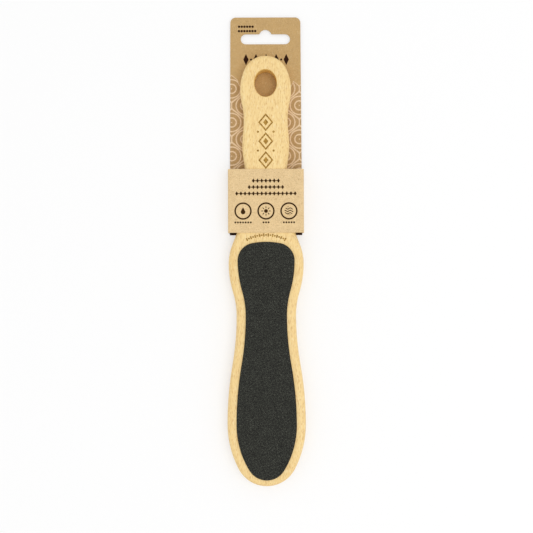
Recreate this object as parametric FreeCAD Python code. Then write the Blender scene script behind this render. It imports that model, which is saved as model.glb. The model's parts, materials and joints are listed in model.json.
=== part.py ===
import FreeCAD, Part
import os

# A two-sided beech foot file, held in a kraft hang card that slides off over the handle.
# It lies on its back: X runs across the file, Y along it from paddle to handle, Z out of the coarse face.
# Every length is in millimetres. Stations along the file are counted from the tip of the paddle.

# Beech body: stretches of the outline from the tip to the end of the handle, one after the other
tip_length = 39.0
lower_lobe_to_waist = 68.0
waist_to_upper_lobe = 32.5
upper_lobe_to_neck = 52.5
neck_to_grip = 22.0
grip_to_grip_waist = 16.0
grip_waist_to_head = 18.5
head_length = 21.5

# Beech body: widths where the outline swells or draws in
lower_lobe_width = 49.2
paddle_waist_width = 37.3
upper_lobe_width = 47.1
neck_width = 25.8
grip_width = 29.5
grip_waist_width = 27.6
head_width = 32.0

# Beech body: board, rounded edges and hang hole
body_thickness = 9.0
edge_radius = 3.0
hole_width = 14.0
hole_length = 17.0
hole_end_wall = 9.1
hole_bevel = 0.5

# Shares that shape the outlines: the lobe's part of an S-bend, from its lobe to the next waist
paddle_bend_share = 0.55
shoulder_bend_share = 0.24
handle_bend_share = 0.42

# Shares that shape the rounded ends: the end arc's tangent over the side arc's, so more is blunter
body_tip_share = 0.8
body_head_share = 1.4
hole_end_share = 1.0
sheet_tip_share = 0.46
sheet_end_share = 0.5

# The most of the board's thickness that one rounded or bevelled edge may take
edge_limit_share = 0.48

# Abrasive sheets, one on each face: bare wood left around them, and the layers from the wood outwards
side_land = 2.8
tip_land = 1.5
sheet_lobe_rise = 2.0
sheet_end_length = 13.7
adhesive_thickness = 0.2
backing_thickness = 0.5
grit_thickness = 0.4

# Hang card: board, play around the wood, folds and glue
board_thickness = 0.4
card_play = 0.2
front_fold_radius = 0.9
rear_fold_radius = 0.3
glue_thickness = 0.1
glue_margin = 2.0

# Hang card: band as wide as the upper lobe, wrapped round the neck, with two flaps glued behind the header
band_side_stand = 0.15
band_height = 39.7
sheet_to_band_gap = 5.7
flap_gap = 12.0
flap_taper_length = 5.0
flap_taper_depth = 3.0

# Hang card: header behind the handle, with its hang slot
header_draw_in = 0.8
header_overhang = 26.0
header_bottom_drop = 1.2
header_corner_radius = 3.4
slot_width = 31.3
slot_height = 6.4
slot_top_margin = 7.8
slot_peak_radius = 4.0
slot_peak_rise = 2.0

# How far a cutting shape runs past the faces that it cuts
cut_overrun = 1.0

# Stations worked out from the stretches above
lower_lobe_station = tip_length
paddle_waist_station = lower_lobe_station + lower_lobe_to_waist
upper_lobe_station = paddle_waist_station + waist_to_upper_lobe
neck_station = upper_lobe_station + upper_lobe_to_neck
grip_station = neck_station + neck_to_grip
grip_waist_station = grip_station + grip_to_grip_waist
head_station = grip_waist_station + grip_waist_to_head
body_length = head_station + head_length
hole_station = body_length - hole_end_wall - hole_length / 2
sheet_end_station = upper_lobe_station + sheet_end_length
band_bottom_station = sheet_end_station + sheet_to_band_gap
band_top_station = band_bottom_station + band_height
header_bottom_station = band_bottom_station - header_bottom_drop
header_top_station = body_length + header_overhang
slot_peak_station = header_top_station - slot_top_margin - slot_peak_radius
slot_station = slot_peak_station - slot_peak_rise

# The origin lies under the middle of the carded file
origin_station = header_top_station / 2

# Levels from the table upwards
sheet_thickness = adhesive_thickness + backing_thickness + grit_thickness
body_bottom = sheet_thickness
body_top = body_bottom + body_thickness
header_top_level = body_bottom - card_play
header_bottom_level = header_top_level - board_thickness
flap_top_level = header_bottom_level - glue_thickness
band_bottom_level = flap_top_level - board_thickness
band_inner_top = body_top + card_play
band_outer_top = band_inner_top + board_thickness

# Radii and widths that follow from the values above
body_edge = min(edge_radius, edge_limit_share * body_thickness)
hole_edge = min(hole_bevel, edge_limit_share * body_thickness)
sheet_inset = body_edge + side_land
sheet_tip_station = body_edge + tip_land
band_width = upper_lobe_width + 2 * band_side_stand
header_bottom_width = band_width - 2 * (board_thickness + rear_fold_radius)
header_top_width = header_bottom_width - 2 * header_draw_in
flap_width = (band_width - flap_gap) / 2


def point(x, station, z=0):
    return FreeCAD.Vector(x, station - origin_station, z)


def line(start, end):
    return Part.LineSegment(start, end).toShape()


def arc(start, middle, end):
    return Part.Arc(start, middle, end).toShape()


def mirrored(edge):
    return edge.mirror(FreeCAD.Vector(0, 0, 0), FreeCAD.Vector(1, 0, 0))


def prism(wire, bottom, top):
    """A flat wire drawn at level zero, made solid between two levels."""
    solid = Part.Face(wire).extrude(FreeCAD.Vector(0, 0, top - bottom))
    solid.translate(FreeCAD.Vector(0, 0, bottom))
    return solid


def tangent_arc(start, tangent, end):
    """The arc that leaves start along tangent and runs to end."""
    chord = end - start
    normal = FreeCAD.Vector(-tangent.y, tangent.x, 0)
    offset = normal.dot(chord)
    if offset == 0:
        return line(start, end)
    centre = start + normal * (chord.Length ** 2 / (2 * offset))
    radial = (start - centre) + (end - centre)
    middle = centre + radial.normalize() * (start - centre).Length
    return arc(start, middle, end)


def rounded_end(half_width, lobe_station, end_station, share):
    """Half of a rounded end: an arc from the side of the last lobe, and one from there to the middle."""
    side = point(half_width, lobe_station)
    tip = point(0, end_station)
    reach = abs(end_station - lobe_station)
    along = FreeCAD.Vector(0, 1 if end_station > lobe_station else -1, 0)
    across = FreeCAD.Vector(1, 0, 0)
    run = reach + share * half_width
    square = half_width ** 2 + reach ** 2
    side_tangent = ((run ** 2 + 2 * share * square) ** 0.5 - run) / (2 * share)
    side_corner = side + along * side_tangent
    tip_corner = tip + across * (share * side_tangent)
    meeting = side_corner + (tip_corner - side_corner) / (1 + share)
    return [tangent_arc(side, along, meeting), tangent_arc(tip, across, meeting)]


def s_bend(lobe, waist, share):
    """One side between a lobe and a waist, both running straight along the file: two arcs that meet."""
    meeting = lobe + (waist - lobe) * share
    along = FreeCAD.Vector(0, 1 if waist.y > lobe.y else -1, 0)
    return [tangent_arc(lobe, along, meeting), tangent_arc(waist, -along, meeting)]


def both_sides(right):
    """The closed wire of the right half's edges and their mirror images."""
    left = [mirrored(edge) for edge in right]
    return Part.Wire(Part.__sortEdges__(right + left))


def lobed_outline(tip_station, tip_share, swells, bend_shares, end_station, end_share):
    """A closed outline, alike on both sides, through lobes and waists in turn, listed from tip to end."""
    right = rounded_end(*swells[0], tip_station, tip_share)
    places = [point(*swell) for swell in swells]
    for number, share in enumerate(bend_shares):
        lobe, waist = places[number:number + 2] if number % 2 == 0 else places[number + 1:number - 1:-1]
        right += s_bend(lobe, waist, share)
    right += rounded_end(*swells[-1], end_station, end_share)
    return both_sides(right)


def body_outline():
    swells = [
        (lower_lobe_width / 2, lower_lobe_station),
        (paddle_waist_width / 2, paddle_waist_station),
        (upper_lobe_width / 2, upper_lobe_station),
        (neck_width / 2, neck_station),
        (grip_width / 2, grip_station),
        (grip_waist_width / 2, grip_waist_station),
        (head_width / 2, head_station),
    ]
    bend_shares = 2 * [paddle_bend_share] + [shoulder_bend_share] + 3 * [handle_bend_share]
    return lobed_outline(0, body_tip_share, swells, bend_shares, body_length, body_head_share)


def sheet_outline():
    """The paddle's outline drawn in by the bare rim of wood."""
    swells = [
        (lower_lobe_width / 2 - sheet_inset, lower_lobe_station),
        (paddle_waist_width / 2 - sheet_inset, paddle_waist_station),
        (upper_lobe_width / 2 - sheet_inset, upper_lobe_station + sheet_lobe_rise),
    ]
    bend_shares = 2 * [paddle_bend_share]
    return lobed_outline(
        sheet_tip_station, sheet_tip_share, swells, bend_shares, sheet_end_station, sheet_end_share
    )


def hang_hole():
    """An oval hole through the head, longer than it is wide."""
    right = []
    for end_station in (hole_station - hole_length / 2, hole_station + hole_length / 2):
        right += rounded_end(hole_width / 2, hole_station, end_station, hole_end_share)
    return prism(both_sides(right), body_bottom - cut_overrun, body_top + cut_overrun)


def flat_face_edges(solid):
    """The edges of a solid's upper and lower flat faces, with the hole's apart from the outline's."""
    outline, hole = [], []
    for face in solid.Faces:
        if not isinstance(face.Surface, Part.Plane):
            continue
        for wire in face.Wires:
            (outline if wire.isSame(face.OuterWire) else hole).extend(wire.Edges)
    return outline, hole


def beech_body():
    board = prism(body_outline(), body_bottom, body_top)
    outline, _ = flat_face_edges(board)
    rounded = board.makeFillet(body_edge, outline).cut(hang_hole())
    _, hole = flat_face_edges(rounded)
    return rounded.makeChamfer(hole_edge, hole)


def sheet_layers(face_level, outwards):
    """Adhesive, backing and grit on one face of the paddle, with outwards 1 in front and -1 behind."""
    layers = []
    level = face_level
    for thickness in (adhesive_thickness, backing_thickness, grit_thickness):
        next_level = level + outwards * thickness
        layers.append(prism(sheet_outline(), min(level, next_level), max(level, next_level)))
        level = next_level
    return layers


def folded_section(half_width, bottom, top, growth):
    """The band's section in the XZ plane, with its folds wider by growth than on the inside of the board."""
    def place(x, z):
        return point(x, band_bottom_station, z)

    half_root = 0.5 ** 0.5
    rear = rear_fold_radius + growth
    front = front_fold_radius + growth
    folds = [(1, bottom, 1, rear), (1, top, -1, front), (-1, top, -1, front), (-1, bottom, 1, rear)]
    arcs = []
    for right, level, up, radius in folds:
        x = right * (half_width - radius)
        z = level + up * radius
        on_side = place(x + right * radius, z)
        on_face = place(x, level)
        middle = place(x + right * radius * half_root, z - up * radius * half_root)
        arcs.append((on_side, middle, on_face) if right * up < 0 else (on_face, middle, on_side))
    edges = []
    for this, following in zip(arcs, arcs[1:] + arcs[:1]):
        edges.append(arc(*this))
        edges.append(line(this[2], following[0]))
    return Part.Wire(edges)


def flap_taper(right, low):
    """The slanted cut at one corner of a flap, which keeps its end clear of the band's edge."""
    free_edge = flap_gap / 2
    station = band_bottom_station if low else band_top_station
    inwards = 1 if low else -1
    corner = [
        point(right * (free_edge - cut_overrun), station - inwards * cut_overrun),
        point(right * (free_edge + flap_taper_length), station - inwards * cut_overrun),
        point(right * (free_edge + flap_taper_length), station),
        point(right * free_edge, station + inwards * flap_taper_depth),
        point(right * (free_edge - cut_overrun), station + inwards * flap_taper_depth),
    ]
    wire = Part.makePolygon(corner + corner[:1])
    return prism(wire, band_bottom_level - cut_overrun, flap_top_level + cut_overrun)


def wrap_band():
    """One strip of board folded round the neck, open behind where its two flaps end."""
    outer = folded_section(band_width / 2, band_bottom_level, band_outer_top, board_thickness)
    inner = folded_section(band_width / 2 - board_thickness, flap_top_level, band_inner_top, 0.0)
    along = FreeCAD.Vector(0, band_height, 0)
    tube = Part.Face(outer).extrude(along).cut(Part.Face(inner).extrude(along))
    gap = Part.makeBox(
        flap_gap,
        band_height + 2 * cut_overrun,
        board_thickness + 2 * cut_overrun,
        point(-flap_gap / 2, band_bottom_station - cut_overrun, band_bottom_level - cut_overrun),
    )
    tapers = [flap_taper(right, low) for right in (1, -1) for low in (True, False)]
    return tube.cut([gap] + tapers)


def header_outline():
    """The header's board: square at the foot, drawn in a little and round-cornered at the top."""
    foot = header_bottom_width / 2
    top = header_top_width / 2
    corners = [
        point(-foot, header_bottom_station),
        point(foot, header_bottom_station),
        point(top, header_top_station),
        point(-top, header_top_station),
    ]
    return Part.makePolygon(corners + corners[:1])


def hang_slot():
    """The slot for a shop peg: a long round-ended slot with a round peak in the middle."""
    bottom = header_bottom_level - cut_overrun
    depth = board_thickness + 2 * cut_overrun
    half_run = (slot_width - slot_height) / 2
    run = Part.makeBox(
        2 * half_run, slot_height, depth, point(-half_run, slot_station - slot_height / 2, bottom)
    )
    ends = [
        Part.makeCylinder(slot_height / 2, depth, point(x, slot_station, bottom))
        for x in (-half_run, half_run)
    ]
    peak = Part.makeCylinder(slot_peak_radius, depth, point(0, slot_peak_station, bottom))
    return run.fuse(ends + [peak]).removeSplitter()


def header_card():
    board = prism(header_outline(), header_bottom_level, header_top_level)
    top_corners = [
        edge for edge in board.Edges
        if edge.BoundBox.ZLength > board_thickness / 2
        and edge.CenterOfMass.y > point(0, band_top_station).y
    ]
    return board.makeFillet(header_corner_radius, top_corners).cut(hang_slot())


def flap_glue():
    """A strip of glue on each flap, between the flap and the back of the header."""
    fold = board_thickness + rear_fold_radius
    width = flap_width - flap_taper_length - fold - glue_margin
    length = band_height - 2 * glue_margin
    strips = []
    for right in (1, -1):
        near_fold = right * (band_width / 2 - fold - glue_margin)
        left_edge = min(near_fold, near_fold - right * width)
        corner = point(left_edge, band_bottom_station + glue_margin, flap_top_level)
        strips.append(Part.makeBox(width, length, glue_thickness, corner))
    return Part.makeCompound(strips)


def build():
    front = sheet_layers(body_top, 1)
    rear = sheet_layers(body_bottom, -1)
    nodes = {"beech_body": beech_body()}
    for name, layers in (("coarse", front), ("fine", rear)):
        for layer, solid in zip(("adhesive_film", "backing_sheet", "grit_coat"), layers):
            nodes[f"{name}_{layer}"] = solid
    nodes["header_card"] = header_card()
    nodes["wrap_band"] = wrap_band()
    nodes["flap_glue"] = flap_glue()
    return nodes


def main():
    os.makedirs("parts", exist_ok=True)
    for name, shape in build().items():
        shape.exportStep(f"parts/{name}.step")
        print(f"{name}: {len(shape.Solids)} solid(s), {shape.Volume:.1f} mm3, valid {shape.isValid()}")


main()
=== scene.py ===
import json
import math
import random
import bmesh
import bpy
from mathutils import Euler, Matrix, Vector
from mathutils.bvhtree import BVHTree


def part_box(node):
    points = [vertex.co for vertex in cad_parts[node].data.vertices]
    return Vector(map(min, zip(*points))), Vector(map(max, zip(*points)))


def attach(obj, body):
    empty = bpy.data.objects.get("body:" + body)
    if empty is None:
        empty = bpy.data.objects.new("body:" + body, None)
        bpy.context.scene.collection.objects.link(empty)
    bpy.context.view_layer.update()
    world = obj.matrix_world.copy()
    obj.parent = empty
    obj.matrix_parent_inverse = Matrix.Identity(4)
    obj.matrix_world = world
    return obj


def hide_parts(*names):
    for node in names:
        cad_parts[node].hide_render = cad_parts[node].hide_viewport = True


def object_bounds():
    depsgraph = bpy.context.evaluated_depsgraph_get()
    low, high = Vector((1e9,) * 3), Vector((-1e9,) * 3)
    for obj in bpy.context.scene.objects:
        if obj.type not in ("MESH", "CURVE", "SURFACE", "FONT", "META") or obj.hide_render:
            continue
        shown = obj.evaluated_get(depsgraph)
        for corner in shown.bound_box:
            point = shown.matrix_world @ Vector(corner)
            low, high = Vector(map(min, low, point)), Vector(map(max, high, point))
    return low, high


# A wooden foot file in its hang card, dressed around the CAD nodes: lengths in metres, colours linear
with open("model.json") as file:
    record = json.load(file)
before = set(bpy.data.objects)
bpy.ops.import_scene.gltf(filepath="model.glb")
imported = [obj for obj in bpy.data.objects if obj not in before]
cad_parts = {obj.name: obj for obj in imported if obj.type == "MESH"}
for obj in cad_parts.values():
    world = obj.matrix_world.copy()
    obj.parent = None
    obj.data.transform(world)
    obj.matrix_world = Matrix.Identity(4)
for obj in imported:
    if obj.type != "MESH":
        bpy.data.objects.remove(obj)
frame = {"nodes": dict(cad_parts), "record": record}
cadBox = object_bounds()
nodes = frame["nodes"]
bpy.context.scene.view_settings.view_transform = "Standard"
boardLow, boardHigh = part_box("beech_body")
bandLow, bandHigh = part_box("wrap_band")
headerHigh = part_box("header_card")[1]
mounts = {mount["name"]: Vector(mount["pos_m"]) for mount in frame["record"]["mounts"]}
holeCentre = mounts["hang_hole"]
print("frame loaded:", len(nodes), "nodes")


class Wire:  # a node's output, with arithmetic that adds Math nodes
    def __init__(self, paint, socket):
        self.paint = paint
        self.socket = socket

    def math(self, operation, *others, clamp=False):
        return self.paint.math(operation, self, *others, clamp=clamp)

    def __add__(self, other):
        return self.math("ADD", other)

    def __sub__(self, other):
        return self.math("SUBTRACT", other)

    def __rsub__(self, other):
        return self.paint.math("SUBTRACT", other, self)

    def __mul__(self, other):
        return self.math("MULTIPLY", other)

    def __truediv__(self, other):
        return self.math("DIVIDE", other)

    def __abs__(self):
        return self.math("ABSOLUTE")

    __radd__ = __add__
    __rmul__ = __mul__

    def rise(self, low, high):  # 0 below low, 1 above high
        return (self - low).math("DIVIDE", high - low, clamp=True)

    def wrap(self, period):  # the way to the nearest multiple of period
        return self.math("WRAP", period / 2, -period / 2)

    def most(self, other):
        return self.math("MAXIMUM", other)

    def least(self, other):
        return self.math("MINIMUM", other)


class Paint:  # one material and its nodes
    def __init__(self, name, fixed):
        self.material = bpy.data.materials.new(name)
        self.material.use_nodes = True
        self.tree = self.material.node_tree
        self.shader = self.tree.nodes["Principled BSDF"]
        self.feed(fixed)

    def plug(self, value, socket):
        if isinstance(value, Wire):
            self.tree.links.new(value.socket, socket)
        else:
            socket.default_value = value

    def feed(self, sockets):
        for name, value in sockets.items():
            self.plug(value, self.shader.inputs[name])

    def node(self, kind, settings=None, sockets=None, output=0):
        made = self.tree.nodes.new(kind)
        for key, value in (settings or {}).items():
            setattr(made, key, value)
        for key, value in (sockets or {}).items():
            self.plug(value, made.inputs[key])
        return Wire(self, made.outputs[output])

    def math(self, operation, *values, clamp=False):
        settings = {"operation": operation, "use_clamp": clamp}
        return self.node("ShaderNodeMath", settings, dict(enumerate(values)))

    def place(self):  # x, y and z in the object's own frame
        coords = self.node("ShaderNodeTexCoord", output="Object")
        return [self.node("ShaderNodeSeparateXYZ", None, {0: coords}, axis) for axis in "XYZ"]

    def facing(self, axis):
        normal = self.node("ShaderNodeTexCoord", output="Normal")
        return self.node("ShaderNodeSeparateXYZ", None, {0: normal}, axis)

    def noise(self, perMetre, detail, shift):  # spots per metre along x, y and z, moved by shift metres
        coords = self.node("ShaderNodeTexCoord", output="Object")
        moved = self.node("ShaderNodeVectorMath", {"operation": "ADD"}, {0: coords, 1: (shift,) * 3})
        stretched = self.node("ShaderNodeVectorMath", {"operation": "MULTIPLY"}, {0: moved, 1: perMetre})
        return self.node("ShaderNodeTexNoise", None, {"Vector": stretched, "Scale": 1.0, "Detail": detail})

    def mix(self, factor, first, second):  # colours
        return self.node("ShaderNodeMix", {"data_type": "RGBA"}, {0: factor, 6: first, 7: second}, output=2)

    def bump(self, height, distance):
        return self.node("ShaderNodeBump", None, {"Strength": 1.0, "Distance": distance, "Height": height})


def far(across, along):  # distance from the middle of a motif
    return (across * across + along * along).math("SQRT")


# In a layer, spots is their number per metre along x, y and z, edge the noise levels where a spot
# begins and where it is full, and cover its share there
def layered(paint, colour, layers):  # noisy spots of colour, painted one over the other
    masks = []
    for number, layer in enumerate(layers):
        spots = paint.noise(layer["spots"], layer["detail"], number).rise(*layer["edge"])
        colour = paint.mix(spots * layer["cover"], colour, layer["colour"])
        masks.append(spots)
    return colour, masks


beechLook = {
    "fixed": {"Specular IOR Level": 0.35},
    "pale": (0.935, 0.708, 0.330, 1),
    "layers": (  # growth bands, straight fibres, bright flecks, dark flecks and pores
        dict(colour=(0.89, 0.64, 0.278, 1), spots=(260, 8, 160), detail=4, edge=(0.34, 0.66), cover=1.0),
        dict(colour=(0.8, 0.53, 0.205, 1), spots=(2300, 45, 1800), detail=2, edge=(0.46, 0.68), cover=0.45),
        dict(colour=(0.965, 0.8, 0.48, 1), spots=(1600, 330, 1200), detail=1, edge=(0.58, 0.74), cover=0.7),
        dict(colour=(0.7, 0.43, 0.17, 1), spots=(1350, 400, 1900), detail=1, edge=(0.6, 0.72), cover=0.7),
        dict(colour=(0.6, 0.345, 0.12, 1), spots=(1900, 300, 1500), detail=2, edge=(0.54, 0.7), cover=0.58),
    ),
    "poreDepth": 0.00003,
    "roughness": (0.48, 0.62),  # between pores and in them
    "endGrain": (0.700, 0.430, 0.160, 1),
    "endCover": 0.35,
    # painted shade: a darker golden brown on the hang hole's wall and rim, standing in for the shade in the
    # hole
    "holeShade": (0.790, 0.495, 0.125, 1),
    "holeShadeOval": (0.0070, 0.0085),  # half sizes of the oval of painted shade round the hang hole
    "holeShadeFade": (1.0, 1.05),  # brown inside the first share of the oval, none past the second
    "holeShadeCover": 0.9,
}


def beechPaint():
    look = beechLook
    paint = Paint("beech_wood", look["fixed"])
    colour, masks = layered(paint, look["pale"], look["layers"])
    end = abs(paint.facing("Y"))
    colour = paint.mix(end * end * look["endCover"], colour, look["endGrain"])
    across, along, up = paint.place()
    # painted shade on the hang hole's wall and just round it
    wide, tall = look["holeShadeOval"]
    wall = 1 - far((across - holeCentre.x) / wide, (along - holeCentre.y) / tall).rise(*look["holeShadeFade"])
    colour = paint.mix(wall * look["holeShadeCover"], colour, look["holeShade"])
    pore = masks[-1]
    smooth, rough = look["roughness"]
    paint.feed({
        "Base Color": colour,
        "Roughness": pore * (rough - smooth) + smooth,
        "Normal": paint.bump(1 - pore, look["poreDepth"]),
    })
    return paint


burnLook = {
    "fixed": {"Roughness": 0.8, "Specular IOR Level": 0.2},
    "base": (0.280, 0.140, 0.020, 1),
    "layers": (
        dict(colour=(0.56, 0.33, 0.072, 1), spots=[900] * 3, detail=3, edge=(0.35, 0.65), cover=1.0),
    ),
    "depth": 0.00003,
}
backingLook = {
    "fixed": {"Roughness": 0.85, "Specular IOR Level": 0.25},
    "base": (0.022, 0.022, 0.020, 1),
    "layers": (
        dict(colour=(0.05, 0.049, 0.045, 1), spots=[2400] * 3, detail=1, edge=(0.4, 0.6), cover=1.0),
    ),
    "depth": 0.00003,
}
adhesiveLook = {
    "fixed": {"Roughness": 0.4},
    "base": (0.420, 0.330, 0.190, 1),
    "layers": (
        dict(colour=(0.6, 0.52, 0.36, 1), spots=[500] * 3, detail=2, edge=(0.35, 0.65), cover=1.0),
    ),
    "depth": 0.00001,
}
glueLook = {
    "fixed": {"Roughness": 0.4},
    "base": (0.660, 0.580, 0.400, 1),
    "layers": (
        dict(colour=(0.78, 0.72, 0.56, 1), spots=[380] * 3, detail=2, edge=(0.35, 0.65), cover=1.0),
    ),
    "depth": 0.00002,
}


def plainPaint(name, look):  # one base colour under layers, with a bump from the last of them
    paint = Paint(name, look["fixed"])
    colour, masks = layered(paint, look["base"], look["layers"])
    paint.feed({"Base Color": colour, "Normal": paint.bump(masks[-1], look["depth"])})
    return paint


coarseLook = {
    "fixed": {"Specular IOR Level": 0.16},
    "resin": (0.014, 0.014, 0.012, 1),
    "grain": (0.090, 0.094, 0.076, 1),
    "layers": (  # painted glints, lighter specks standing in for light off the grains' facets, then patches where resin lies on the grains
        dict(colour=(0.22, 0.228, 0.188, 1), spots=[1000] * 3, detail=2, edge=(0.38, 0.7), cover=0.85),
        dict(colour=(0.014, 0.014, 0.012, 1), spots=(160, 120, 160), detail=3, edge=(0.3, 0.7), cover=0.22),
    ),
    "roughness": (0.72, 0.52),  # of resin and of grains
}
fineLook = {
    "fixed": {"Specular IOR Level": 0.16},
    "resin": (0.030, 0.029, 0.026, 1),
    "grain": (0.130, 0.129, 0.118, 1),
    "layers": (
        # painted glints on the grains, then patches where resin lies on them
        dict(colour=(0.24, 0.238, 0.22, 1), spots=[1900] * 3, detail=2, edge=(0.38, 0.7), cover=0.85),
        dict(colour=(0.03, 0.029, 0.026, 1), spots=(140, 110, 140), detail=3, edge=(0.3, 0.7), cover=0.22),
    ),
    "roughness": (0.72, 0.52),
}


def gritPaint(name, look, resinLevel, tipLevel):  # dark resin with grains above it, speckled with painted glints
    paint = Paint(name, look["fixed"])
    grain, masks = layered(paint, look["grain"], look["layers"])
    height = paint.place()[2].rise(resinLevel, tipLevel)
    resin, tips = look["roughness"]
    paint.feed({
        "Base Color": paint.mix(height, look["resin"], grain),
        "Roughness": height * (tips - resin) + resin,
    })
    return paint


kraftDark = (0.230, 0.125, 0.045, 1)
kraftLight = (0.900, 0.740, 0.470, 1)
kraftLook = {
    "layers": (  # clouds, pulp and loose fibres
        dict(colour=kraftDark, spots=(260, 220, 260), detail=2, edge=(0.35, 0.7), cover=0.1),
        dict(colour=kraftDark, spots=[2100] * 3, detail=4, edge=(0.42, 0.75), cover=0.32),
        dict(colour=kraftLight, spots=[2100] * 3, detail=4, edge=(0.5, 0.75), cover=0.36),
        dict(colour=kraftDark, spots=(380, 3600, 3600), detail=1, edge=(0.64, 0.74), cover=0.32),
        dict(colour=kraftLight, spots=(3600, 380, 3600), detail=1, edge=(0.64, 0.74), cover=0.32),
        dict(colour=kraftDark, spots=(1500, 1300, 3600), detail=1, edge=(0.64, 0.74), cover=0.32),
    ),
    "fibreDepth": 0.00002,
    "printFace": (0.00005, 0.00001),  # depths under a board's face where print begins and is full
    "inkEdge": 0.00012,  # width of the soft edge
}


def kraftFibres(paint, colour):  # the colour with the layers over it, and a bump from them all
    colour, masks = layered(paint, colour, kraftLook["layers"])
    height = sum(masks[1:], masks[0])
    return colour, paint.bump(height, kraftLook["fibreDepth"])


def printFace(up, top):  # 1 on a board's front
    low, high = kraftLook["printFace"]
    return up.rise(top - low, top - high)


def ink(distance):  # 1 where distance is below zero, with a soft edge
    soft = kraftLook["inkEdge"] / 2
    return (-1 * distance).rise(-soft, soft)


def lozengeRow(u, v, count, row):  # a centred chain of an odd count of lozenges, with dots between
    pitch = row["pitch"]
    reach = abs(u) - count * pitch / 2
    wide, tall = row["half"]
    cell = abs(u.wrap(pitch))
    lozenge = (cell / wide + abs(v) / tall - 1) * min(wide, tall)
    dot = far(cell - pitch / 2, v) - row["dot"]
    return lozenge.most(reach).least(dot.most(reach + pitch / 2))


def dotRow(u, v, count, row):  # a centred row of dots
    pitch = row["pitch"]
    reach = abs(u) - count * pitch / 2
    shift = 0 if count % 2 else pitch / 2
    return (far((u - shift).wrap(pitch), v) - row["dot"]).most(reach)


def joined(motifs):  # the nearest of several motifs
    distance = motifs[0]
    for motif in motifs[1:]:
        distance = distance.least(motif)
    return distance


headerLook = {
    "fixed": {"Roughness": 0.82, "Specular IOR Level": 0.1},
    "tan": (0.585, 0.380, 0.160, 1),
    "raw": (0.640, 0.450, 0.230, 1),
    # ink of the print, which also paints the shade at the board's foot
    "ink": (0.026, 0.007, 0.002, 1),
    "tint": (0.470, 0.285, 0.125, 1),
    "tintCover": 0.80,
    "line": (0.900, 0.680, 0.450, 1),
    "lineCover": 0.88,
    "printTop": 0.0385,  # how far below the board's top edge the ripples begin
    "rippleWidth": 0.0172,  # of a cell
    "rippleHeight": 0.0214,
    "rippleShift": (0.0042, 0.0065),
    "ripplePitch": 0.0029,  # from ring to ring
    "rippleLine": 0.00042,  # half the width of a line
    "clearing": 0.0185,  # bare round of board behind the head
    "clearingDrop": 0.0345,  # its middle below the top edge
    "foot": 0.0016,  # painted shade: dark ink up to this height over the band's lower edge, standing in for the shadow inside the sleeve that shows just under the band
    "chain": {"pitch": 0.0064, "half": (0.0017, 0.0036), "dot": 0.00065},
    "chainPlace": (0.0004, 0.0267, 5),  # across, below the top edge, count
    "dots": {"pitch": 0.00172, "dot": 0.00076},
    "dotPlaces": ((-0.0124, 0.0058, 6), (-0.0116, 0.0086, 7)),  # the same three values
}


def rippleLines(across, along):  # rings in staggered cells, and where they are printed
    look = headerLook
    wide, tall = look["rippleWidth"], look["rippleHeight"]
    u = across - look["rippleShift"][0]
    v = along - look["rippleShift"][1]
    firstU, firstV = u.wrap(wide), v.wrap(tall)
    secondU, secondV = (u - wide / 2).wrap(wide), (v - tall / 2).wrap(tall)
    first, second = far(firstU, firstV), far(secondU, secondV)
    nearSecond = second.math("LESS_THAN", first)
    middle = along - firstV - (secondV - firstV) * nearSecond
    clear = far(across, along - (headerHigh.y - look["clearingDrop"])) - look["clearing"]
    printed = middle.math("LESS_THAN", headerHigh.y - look["printTop"]) * ink(-1 * clear)
    ring = abs(first.least(second).wrap(look["ripplePitch"]))
    border = abs(first - second) / 2
    return ink(joined([ring, border, clear]) - look["rippleLine"]), printed


def headerPaint():
    look = headerLook
    paint = Paint("header_kraft", look["fixed"])
    across, along, up = paint.place()
    front = printFace(up, headerHigh.z)
    lines, printed = rippleLines(across, along)
    down = along - headerHigh.y
    side, drop, count = look["chainPlace"]
    # painted shade: the board's foot is inked dark where the sleeve's inner shadow shows under the band
    foot = along - (bandLow.y + look["foot"])
    motifs = [foot, lozengeRow(across - side, down + drop, count, look["chain"])]
    for side, drop, count in look["dotPlaces"]:
        motifs.append(dotRow(across - side, down + drop, count, look["dots"]))
    colour = paint.mix(front, look["raw"], look["tan"])
    colour = paint.mix(printed * front * look["tintCover"], colour, look["tint"])
    colour = paint.mix(lines * printed * front * look["lineCover"], colour, look["line"])
    colour, normal = kraftFibres(paint, colour)
    # print in ink, together with the painted shade at the foot
    colour = paint.mix(ink(joined(motifs)) * front, colour, look["ink"])
    paint.feed({"Base Color": colour, "Normal": normal})
    return paint


bandLook = {
    "fixed": {"Roughness": 0.85, "Specular IOR Level": 0.1},
    "kraft": (0.848, 0.620, 0.332, 1),
    "ink": (0.042, 0.018, 0.003, 1),
    "row": {"pitch": 0.0026, "half": (0.00098, 0.00138), "dot": 0.00036},
    "rows": ((0.0324, 7), (0.0284, 9), (0.0244, 15)),  # height over the band's lower edge, count
    "badgeHeight": 0.0135,
    "badgeStep": 0.0143,
    "badgeRadius": 0.0049,
    "badgeStroke": 0.0010,
    "captionHeight": 0.0064,
    "captions": (7, 3, 5),  # dots under each badge
    "caption": {"pitch": 0.0016, "dot": 0.00060},
    "drop": {"radius": 0.0014, "sunk": 0.00063, "top": 0.00245, "taper": 0.52, "shoulder": 0.00014},
    "sun": {"radius": 0.0012, "rays": 8, "rayMiddle": 0.00234, "rayHalf": (0.00026, 0.00060)},
    "waves": {"radius": 0.00273, "pitch": 0.0015, "lineHalf": 0.00031, "swell": 0.00036, "length": 0.0032},
}


def dropMotif(u, v):  # a round drop with a point on top
    drop = bandLook["drop"]
    body = far(u, v + drop["sunk"]) - drop["radius"]
    point = (abs(u) - (drop["top"] - v) * drop["taper"]).most(-drop["shoulder"] - v)
    return body.least(point)


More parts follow.
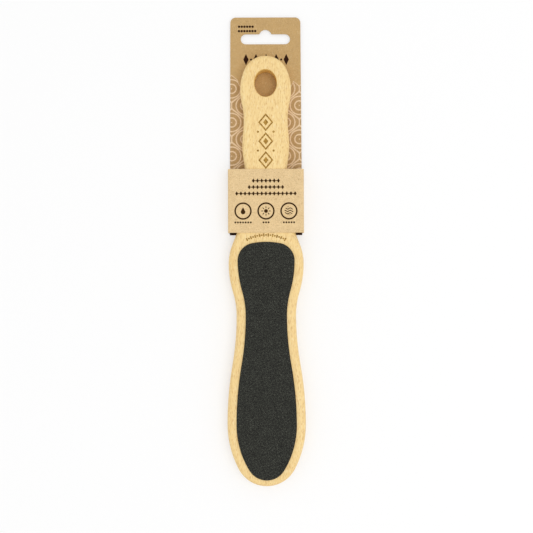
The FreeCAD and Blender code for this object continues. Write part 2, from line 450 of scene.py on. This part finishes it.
def sunMotif(u, v):  # a disc with rays
    sun = bandLook["sun"]
    radius = far(u, v)
    turn = v.math("ARCTAN2", u).wrap(math.tau / sun["rays"])
    wide, tall = sun["rayHalf"]
    ray = (abs(turn * radius) - wide).most(abs(radius - sun["rayMiddle"]) - tall)
    return (radius - sun["radius"]).least(ray)


def waveMotif(u, v):  # three wavy lines in a circle
    waves = bandLook["waves"]
    swell = (u * (math.tau / waves["length"])).math("SINE") * waves["swell"]
    line = abs((v - swell).wrap(waves["pitch"])) - waves["lineHalf"]
    return line.most(far(u, v) - waves["radius"])


def bandPaint():
    look = bandLook
    paint = Paint("band_kraft", look["fixed"])
    across, along, up = paint.place()
    lift = along - bandLow.y
    motifs = [lozengeRow(across, lift - height, count, look["row"]) for height, count in look["rows"]]
    badges = zip((-1, 0, 1), (dropMotif, sunMotif, waveMotif), look["captions"])
    for side, motif, count in badges:
        u = across - side * look["badgeStep"]
        v = lift - look["badgeHeight"]
        motifs.append(abs(far(u, v) - look["badgeRadius"]) - look["badgeStroke"] / 2)
        motifs.append(motif(u, v))
        motifs.append(dotRow(u, lift - look["captionHeight"], count, look["caption"]))
    colour, normal = kraftFibres(paint, look["kraft"])
    colour = paint.mix(ink(joined(motifs)) * printFace(up, bandHigh.z), colour, look["ink"])
    paint.feed({"Base Color": colour, "Normal": normal})
    return paint


meshing = {"weld": 0.000002, "smoothUnder": 40, "flatWithin": 0.1}  # metres, degrees, degrees


def mergedCopy(node):  # the CAD node's loose triangles joined into one skin
    bm = bmesh.new()
    bm.from_mesh(nodes[node].data)
    bmesh.ops.remove_doubles(bm, verts=bm.verts[:], dist=meshing["weld"])
    return bm


def makePiece(bm, name, *paints):
    mesh = bpy.data.meshes.new(name)
    bm.to_mesh(mesh)
    bm.free()
    for paint in paints:
        mesh.materials.append(paint.material)
    piece = bpy.data.objects.new(name, mesh)
    bpy.context.scene.collection.objects.link(piece)
    return piece


def smoothPiece(piece):  # smooth shading that keeps the sharp edges
    piece.data.shade_smooth()
    piece.data.set_sharp_from_angle(angle=math.radians(meshing["smoothUnder"]))
    normals = piece.modifiers.new("flat_faces_first", "WEIGHTED_NORMAL")
    normals.keep_sharp = True


def seatPiece(piece, body, node):
    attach(piece, body)
    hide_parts(node)
    print(piece.name, len(piece.data.polygons), "faces")


burnMarks = {
    "depth": 0.00028,
    "overrun": 0.0005,  # how far the cutter stands out of the wood
    "stroke": 0.0009,
    "chainStart": 0.2042,  # first lozenge, from the paddle's tip
    "chainStep": 0.0118,
    "chainCount": 3,
    "lozenge": (0.0047, 0.0056),  # half sizes
    "kernel": (0.0016, 0.0021),
    "bead": 0.0007,
    "beadOut": 0.0049,
    "archCentre": 0.1309,  # from the paddle's tip
    "archRadius": 0.0266,
    "archTurn": 0.93,  # radians from end to end
    "archCount": 19,
    "tick": (0.00044, 0.00098),
    "archDot": 0.00058,
    "roundSides": 12,  # of beads and dots
}


def stamp(bm, centre, half, sides, turn=0.0, corner=0.0):  # a flat filled shape, its corners turned first
    matrix = Matrix.Translation(centre) @ Matrix.Rotation(turn, 4, "Z")
    matrix = matrix @ Matrix.Diagonal((*half, 1, 1)) @ Matrix.Rotation(corner, 4, "Z")
    made = bmesh.ops.create_circle(bm, cap_ends=True, segments=sides, radius=1.0, matrix=matrix)
    return made["verts"][0].link_faces[0]


def hollowStamp(bm, centre, half, sides, stroke):
    face = stamp(bm, centre, half, sides)
    bmesh.ops.inset_region(bm, faces=[face], thickness=stroke, use_boundary=True, use_even_offset=True)
    bmesh.ops.delete(bm, geom=[face], context="FACES_ONLY")


def roundStamp(bm, centre, radius):
    stamp(bm, centre, (radius, radius), burnMarks["roundSides"])


def stampChain(bm, level):  # lozenges up the handle, with a bead on either side between them
    mark = burnMarks
    for number in range(mark["chainCount"]):
        y = boardLow.y + mark["chainStart"] + number * mark["chainStep"]
        hollowStamp(bm, (0, y, level), mark["lozenge"], 4, mark["stroke"])
        stamp(bm, (0, y, level), mark["kernel"], 4)
        if number:
            for side in (-1, 1):
                roundStamp(bm, (side * mark["beadOut"], y - mark["chainStep"] / 2, level), mark["bead"])


def stampArch(bm, level):  # ticks and dots in turn along an arc over the sheet
    mark = burnMarks
    for number in range(mark["archCount"]):
        turn = (number / (mark["archCount"] - 1) - 0.5) * mark["archTurn"]
        x = math.sin(turn) * mark["archRadius"]
        y = boardLow.y + mark["archCentre"] + math.cos(turn) * mark["archRadius"]
        if number % 2:
            roundStamp(bm, (x, y, level), mark["archDot"])
        else:
            corners = Vector(mark["tick"]) * math.sqrt(2)  # puts the sides at the half sizes
            stamp(bm, (x, y, level), corners, 4, -turn, math.pi / 4)


def burnCutter(paint):  # the burnt strokes as one closed cutting shape
    mark = burnMarks
    bm = bmesh.new()
    stampChain(bm, boardHigh.z - mark["depth"])
    stampArch(bm, boardHigh.z - mark["depth"])
    raised = bmesh.ops.extrude_face_region(bm, geom=bm.faces[:])
    lifted = [part for part in raised["geom"] if isinstance(part, bmesh.types.BMVert)]
    bmesh.ops.translate(bm, vec=(0, 0, mark["depth"] + mark["overrun"]), verts=lifted)
    bmesh.ops.recalc_face_normals(bm, faces=bm.faces[:])
    return makePiece(bm, "burn_cutter", paint)


def beechBoard():  # the CAD board with the strokes cut into its face
    wood, burn = beechPaint(), plainPaint("burnt_wood", burnLook)
    blank = makePiece(mergedCopy("beech_body"), "beech_blank", wood)
    cutter = burnCutter(burn)
    cut = blank.modifiers.new("burnt_strokes", "BOOLEAN")
    cut.operation = "DIFFERENCE"
    cut.solver = "EXACT"
    cut.material_mode = "TRANSFER"
    cut.object = cutter
    carved = bpy.data.meshes.new_from_object(blank.evaluated_get(bpy.context.evaluated_depsgraph_get()))
    bm = bmesh.new()
    bm.from_mesh(carved)
    flat = math.radians(meshing["flatWithin"])  # joins what lies in one plane, so that no sliver is left
    verts, edges = bm.verts[:], bm.edges[:]
    bmesh.ops.dissolve_limit(bm, angle_limit=flat, verts=verts, edges=edges, delimit={"MATERIAL"})
    for scrap in (blank, cutter):
        bpy.data.objects.remove(scrap)
    bpy.data.meshes.remove(carved)
    board = makePiece(bm, "beech_board", wood, burn)
    smoothPiece(board)
    seatPiece(board, "file", "beech_body")


coarseGrit = {
    "seed": 7,
    "pitch": 0.00044,
    "size": (0.00025, 0.00037),
    "sides": 4,  # 4 for eight-faced grains, 3 for four-faced ones
    "squash": (0.6, 1.0),  # width and height of a grain, as a share of its length
    "scatter": (0.1, 0.9),  # place in its own square, as a share of the pitch
    "lower": 0.00008,  # how far tips may stay under the face
    "sink": 0.00030,  # resin under the face
    "rim": 0.00045,  # resin left bare along the edge
    "bareShare": 0.08,  # places without a grain
    "tileCount": 25,  # grains along each side of a tile
}
fineGrit = {
    "seed": 11,
    "pitch": 0.00034,
    "size": (0.00019, 0.00027),
    "sides": 3,
    "squash": (0.6, 1.0),
    "scatter": (0.1, 0.9),
    "lower": 0.00005,
    "sink": 0.00022,
    "rim": 0.00040,
    "bareShare": 0.04,
    "tileCount": 32,
}


grainDiamond = {"v_segments": 2, "radius": 1.0}
grainCone = {"cap_ends": True, "radius1": 0.9, "radius2": 0.0, "depth": 1.2}


def addGrain(bm, sides, matrix):
    if sides == 4:
        made = bmesh.ops.create_uvsphere(bm, u_segments=sides, matrix=matrix, **grainDiamond)
    else:
        made = bmesh.ops.create_cone(bm, segments=sides, matrix=matrix, **grainCone)
    return made["verts"]


def gritTile(grit, face, outwards):  # a square patch of grains whose tips reach just under the face
    rng = random.Random(grit["seed"])
    pitch, count = grit["pitch"], grit["tileCount"]
    tile = bmesh.new()
    order = {}
    for row in range(count):
        for column in range(count):
            turn = Euler([rng.uniform(0, math.tau) for axis in range(3)]).to_matrix().to_4x4()
            size = rng.uniform(*grit["size"])
            wide, tall = [size * rng.uniform(*grit["squash"]) for axis in range(2)]
            shape = Matrix.Diagonal((size, wide, tall, 1))
            x = (column + 0.5 * (row % 2) + rng.uniform(*grit["scatter"]) - count / 2) * pitch
            y = (row + rng.uniform(*grit["scatter"]) - count / 2) * pitch
            grain = addGrain(tile, grit["sides"], Matrix.Translation((x, y, face)) @ turn @ shape)
            tip = max((vert.co.z - face) * outwards for vert in grain)
            drop = tip + rng.uniform(0.0, grit["lower"])
            bmesh.ops.translate(tile, vec=(0, 0, -outwards * drop), verts=grain)
            order.update((vert, row * count + column) for vert in grain)
    tile.verts.sort(key=order.get)  # so that a grain's corners stay side by side
    corners = len(tile.verts) // count ** 2
    mesh = bpy.data.meshes.new("grit_tile")
    tile.to_mesh(mesh)
    tile.free()
    return mesh, corners


def laidTiles(grit, tileMesh, low, high, rng):  # tiles in quarter turns, side by side over the node's box
    tileSize = grit["pitch"] * grit["tileCount"]
    grains = bmesh.new()
    for row in range(math.ceil((high.y - low.y) / tileSize)):
        for column in range(math.ceil((high.x - low.x) / tileSize)):
            before = len(grains.verts)
            grains.from_mesh(tileMesh)
            fresh = list(grains.verts)[before:]
            centre = (low.x + (column + 0.5) * tileSize, low.y + (row + 0.5) * tileSize, 0)
            turn = Matrix.Rotation(rng.randrange(4) * math.pi / 2, 4, "Z")
            bmesh.ops.transform(grains, matrix=Matrix.Translation(centre) @ turn, verts=fresh)
    return grains


def thinGrains(grains, corners, bareShare, covered, rng):  # drops a share, and all that pass the edge
    verts = list(grains.verts)
    loose = []
    for first in range(0, len(verts), corners):
        grain = verts[first:first + corners]
        middle = sum((vert.co for vert in grain), Vector()) / corners
        if rng.random() < bareShare or not covered(middle):
            loose += grain
    bmesh.ops.delete(grains, geom=loose, context="VERTS")


def gritCoat(node, name, grit, outwards, look):
    low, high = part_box(node)
    face = high.z if outwards > 0 else low.z
    resinLevel = face - outwards * grit["sink"]
    skin = mergedCopy(node)
    outer = [vert for vert in skin.verts if abs(vert.co.z - face) < grit["sink"] / 2]
    bmesh.ops.translate(skin, vec=(0, 0, resinLevel - face), verts=outer)  # leaves room for the grains
    tree = BVHTree.FromBMesh(skin)
    down = Vector((0, 0, -outwards))
    rim = grit["rim"]

    def covered(spot):  # whether resin lies all round the spot
        steps = ((rim, 0), (-rim, 0), (0, rim), (0, -rim))
        return all(tree.ray_cast(Vector((spot.x + x, spot.y + y, face)), down)[0] for x, y in steps)

    tileMesh, corners = gritTile(grit, face, outwards)
    rng = random.Random(grit["seed"])
    grains = laidTiles(grit, tileMesh, low, high, rng)
    thinGrains(grains, corners, grit["bareShare"], covered, rng)
    grains.to_mesh(tileMesh)
    grains.free()
    skin.from_mesh(tileMesh)
    bpy.data.meshes.remove(tileMesh)
    piece = makePiece(skin, name, gritPaint(name, look, resinLevel, face))
    seatPiece(piece, "file", node)


def boardPiece(node, name, paint):
    piece = makePiece(mergedCopy(node), name, paint)
    smoothPiece(piece)
    seatPiece(piece, "card", node)


def dressNode(node, paint):  # a CAD node that keeps its own mesh
    mesh = nodes[node].data
    mesh.materials.clear()
    mesh.materials.append(paint.material)


beechBoard()
gritCoat("coarse_grit_coat", "coarse_grit", coarseGrit, 1, coarseLook)
gritCoat("fine_grit_coat", "fine_grit", fineGrit, -1, fineLook)
boardPiece("header_card", "header_board", headerPaint())
boardPiece("wrap_band", "band_board", bandPaint())
backing = plainPaint("sheet_backing", backingLook)
adhesive = plainPaint("bonding_film", adhesiveLook)
for side in ("coarse", "fine"):
    dressNode(side + "_backing_sheet", backing)
    dressNode(side + "_adhesive_film", adhesive)
dressNode("flap_glue", plainPaint("flap_glue_film", glueLook))
print("pieces dressed")


studio = {
    "floorSize": 3.0,  # half its side
    "floorDrop": 0.0006,
    "floor": {"Base Color": (0.97, 0.97, 0.97, 1), "Roughness": 0.9},
    "floorGlow": 0.45,  # share of plain white near the object
    "floorFade": (0.4, 1.6),  # from here to here the floor turns all white
    "worldStrength": 0.82,
    "keyPlace": (0.45, -0.20, 1.5),
    "keyAim": (0.0, 0.0, 0.0),
    "keySize": 1.2,
    "keyPower": 6.2,
    "cameraPlace": (0.0002, -0.0102, 0.507),
    "cameraRoll": -0.2,  # degrees
    "lens": 53.8,
}


def seenDirectly(paint):  # 1 for the camera, mirrors and glass
    kinds = ("Is Camera Ray", "Is Glossy Ray", "Is Transmission Ray")
    camera, glossy, passing = [paint.node("ShaderNodeLightPath", output=kind) for kind in kinds]
    return camera.most(glossy).most(passing)


def layFloor():
    bm = bmesh.new()
    bmesh.ops.create_grid(bm, x_segments=1, y_segments=1, size=studio["floorSize"])
    bmesh.ops.translate(bm, vec=(0, 0, cadBox[0].z - studio["floorDrop"]), verts=bm.verts[:])
    paint = Paint("studio_floor", studio["floor"])
    glow = paint.node("ShaderNodeEmission", None, {"Color": (1, 1, 1, 1), "Strength": 1.0})
    shader = Wire(paint, paint.shader.outputs[0])
    across, along, up = paint.place()
    away = far(across, along).rise(*studio["floorFade"])
    share = seenDirectly(paint) * (away * (1 - studio["floorGlow"]) + studio["floorGlow"])
    mixed = paint.node("ShaderNodeMixShader", None, {0: share, 1: shader, 2: glow})
    paint.tree.links.new(mixed.socket, paint.tree.nodes["Material Output"].inputs["Surface"])
    makePiece(bm, "floor", paint)


class Sky(Paint):  # the world's nodes, built the same way
    def __init__(self, world):
        world.use_nodes = True
        self.tree = world.node_tree
        self.shader = self.tree.nodes["Background"]


def lightStudio():
    world = bpy.data.worlds.new("studio")
    bpy.context.scene.world = world
    sky = Sky(world)
    sky.feed({"Color": (1, 1, 1, 1)})
    shown = seenDirectly(sky)
    sky.feed({"Strength": shown + (1 - shown) * studio["worldStrength"]})
    lamp = bpy.data.lights.new("key", "AREA")
    lamp.energy = studio["keyPower"]
    lamp.size = studio["keySize"]
    key = bpy.data.objects.new("key", lamp)
    place = Vector(studio["keyPlace"])
    aim = (Vector(studio["keyAim"]) - place).to_track_quat("-Z", "Y").to_matrix().to_4x4()
    key.matrix_world = Matrix.Translation(place) @ aim
    bpy.context.scene.collection.objects.link(key)


def aimCamera():
    lens = bpy.data.cameras.new("camera")
    lens.lens = studio["lens"]
    camera = bpy.data.objects.new("camera", lens)
    camera.location = studio["cameraPlace"]
    camera.rotation_euler.z = math.radians(studio["cameraRoll"])
    bpy.context.scene.collection.objects.link(camera)
    bpy.context.scene.camera = camera


layFloor()
lightStudio()
aimCamera()
print("studio set")
